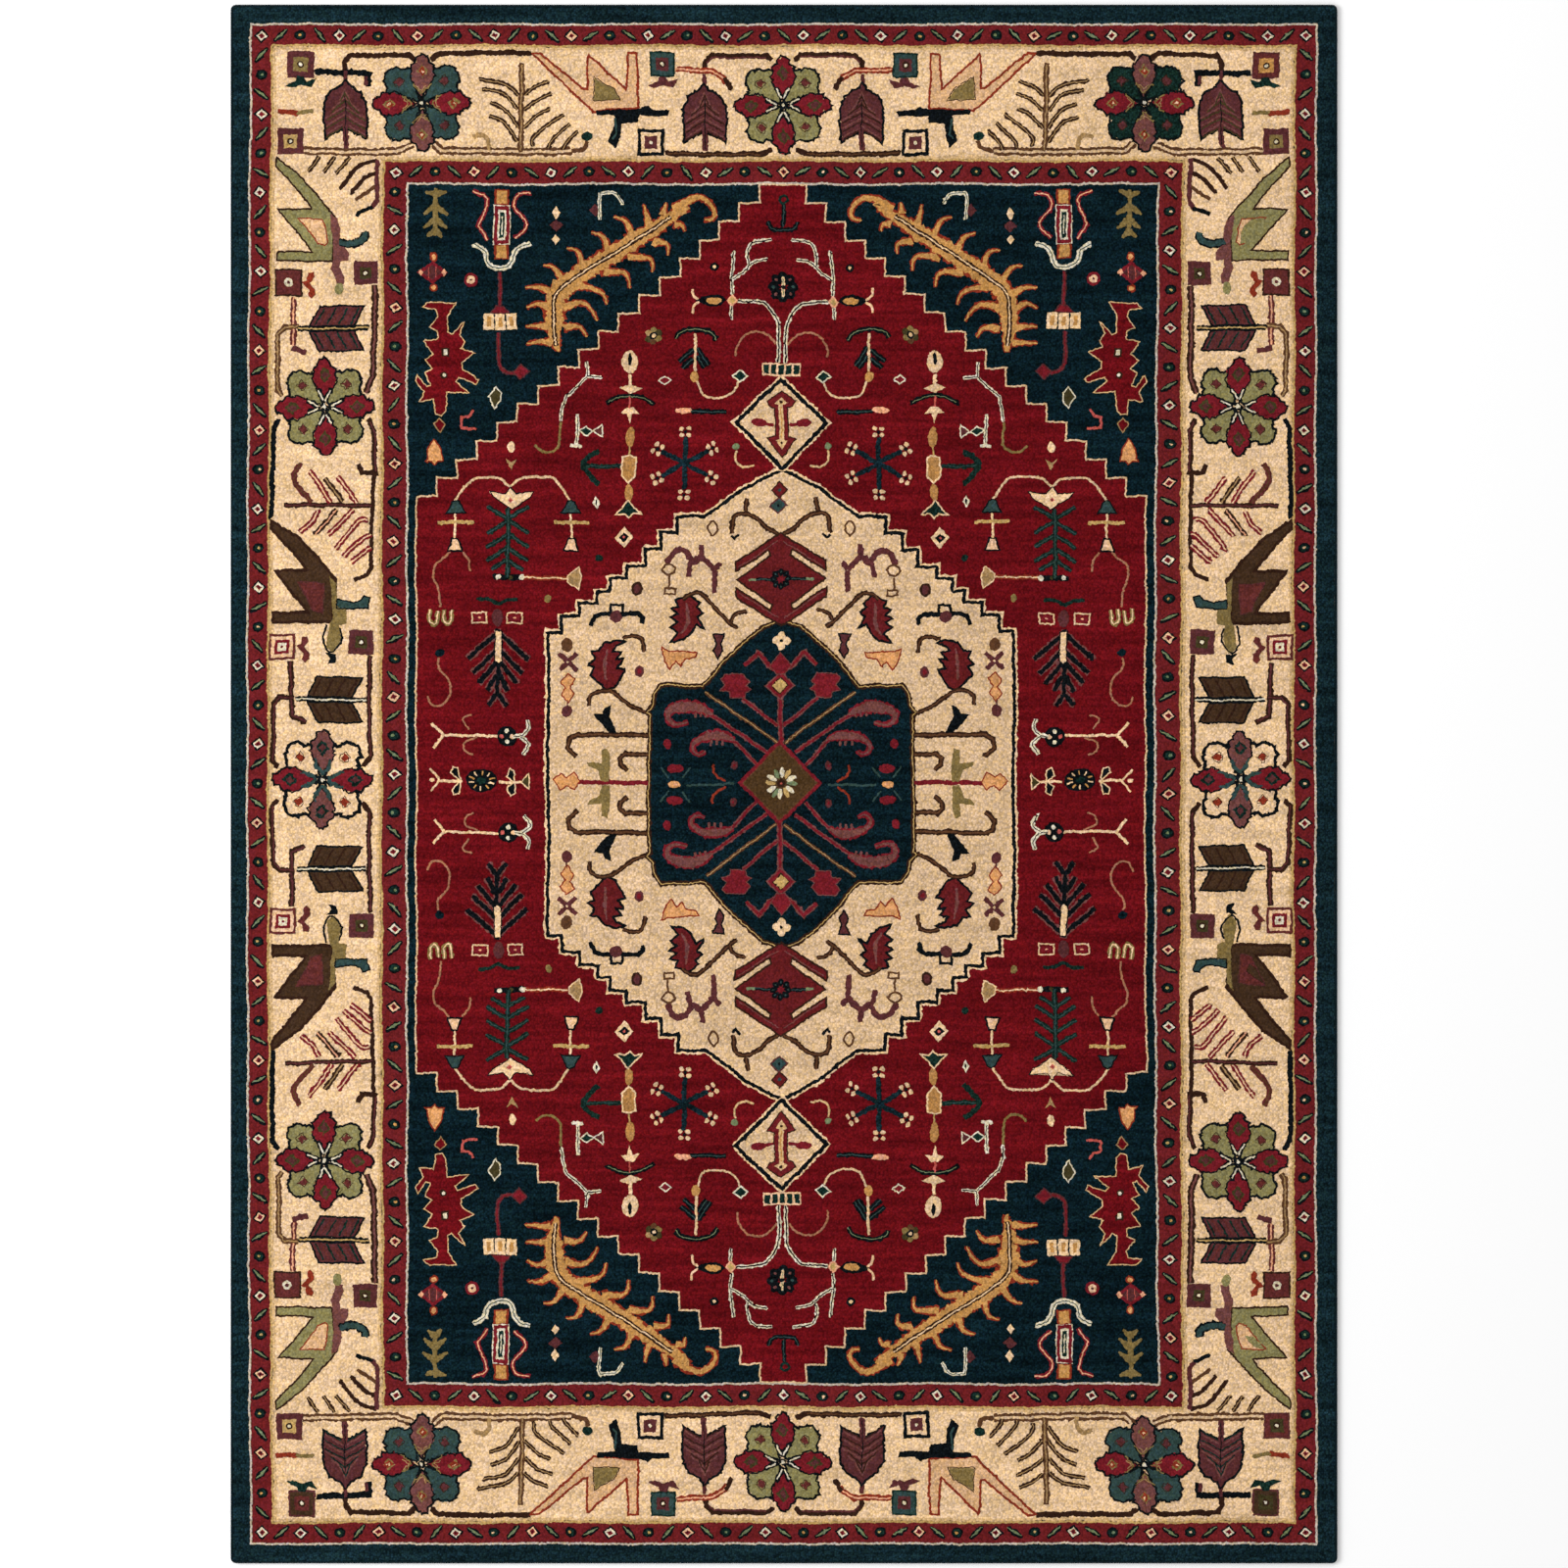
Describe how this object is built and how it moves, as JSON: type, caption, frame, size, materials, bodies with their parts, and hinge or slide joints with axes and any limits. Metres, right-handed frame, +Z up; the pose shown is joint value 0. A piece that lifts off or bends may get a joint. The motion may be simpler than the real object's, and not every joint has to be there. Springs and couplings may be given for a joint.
{
  "type": "area rug",
  "caption": "Rectangular hand-tufted wool rug with a framed border, stepped field and central medallion, backed with cotton cloth.",
  "frame": {"origin": "middle of the underside, on the floor", "axes": "+Y along the length, +X across the width, +Z up through the pile"},
  "size_m": [2.4, 3.38, 0.0124],
  "materials": {
    "cotton_backing": "plain woven cotton cloth, matt",
    "cotton_tape": "twill cotton tape, matt",
    "tufting_canvas": "woven canvas, matt",
    "latex": "dried natural latex, dull",
    "edge_yarn": "overcast wool yarn, matt",
    "navy_wool": "cut wool pile, soft sheen, abrash",
    "red_wool": "cut wool pile, soft sheen, abrash",
    "ivory_wool": "cut wool pile, soft sheen, abrash",
    "white_wool": "cut wool pile, one-row lines",
    "gold_wool": "cut wool pile, soft sheen",
    "brown_wool": "cut wool pile, soft sheen",
    "maroon_wool": "cut wool pile, soft sheen",
    "green_wool": "cut wool pile, soft sheen",
    "teal_wool": "cut wool pile, soft sheen"
  },
  "bodies": {
    "root": {"secondary_backing": "cotton_backing", "backing_tape_top": "cotton_tape", "backing_tape_bottom": "cotton_tape", "backing_tape_left": "cotton_tape", "backing_tape_right": "cotton_tape", "canvas_hem": "tufting_canvas", "latex_layer": "latex", "primary_backing": "tufting_canvas", "edge_binding_top": "edge_yarn", "edge_binding_bottom": "edge_yarn", "edge_binding_left": "edge_yarn", "edge_binding_right": "edge_yarn", "outer_border_top": "navy_wool", "outer_border_bottom": "navy_wool", "outer_border_left": "navy_wool", "outer_border_right": "navy_wool", "outer_piping": "white_wool", "outer_guard_pile": "red_wool", "outer_guard_bars": "green_wool", "outer_guard_discs": "teal_wool", "outer_guard_rings": "white_wool", "main_border_edge_rows": "gold_wool", "main_border_pile": "ivory_wool", "border_rosette_axis_petals": "red_wool", "border_rosette_diagonal_petals": "teal_wool", "border_leaves": "maroon_wool", "border_birds": "green_wool", "border_squares": "maroon_wool", "border_square_hearts": "ivory_wool", "border_vines": "brown_wool", "border_sprays": "brown_wool", "inner_guard_pile": "red_wool", "inner_guard_bars": "green_wool", "inner_guard_discs": "teal_wool", "inner_guard_rings": "white_wool", "inner_piping": "white_wool", "spandrel_left_pile": "navy_wool", "spandrel_right_pile": "navy_wool", "spandrel_feathers": "gold_wool", "spandrel_leaves": "red_wool", "spandrel_lanterns": "red_wool", "spandrel_plants": "green_wool", "field_piping": "white_wool", "field_pile": "red_wool", "field_candelabra": "white_wool", "field_flowers": "gold_wool", "field_totems": "gold_wool", "field_stars": "teal_wool", "field_ferns": "green_wool", "field_arches": "white_wool", "field_spiders": "teal_wool", "medallion_piping": "white_wool", "medallion_outline": "navy_wool", "medallion_pile": "ivory_wool", "medallion_leaves": "red_wool", "medallion_branches": "brown_wool", "medallion_eyes": "maroon_wool", "pendant_outlines": "navy_wool", "pendants": "ivory_wool", "centre_outline": "gold_wool", "centre_pile": "navy_wool", "centre_curls": "maroon_wool", "centre_diamond": "brown_wool", "centre_flower": "white_wool"}
  },
  "joints": []
}
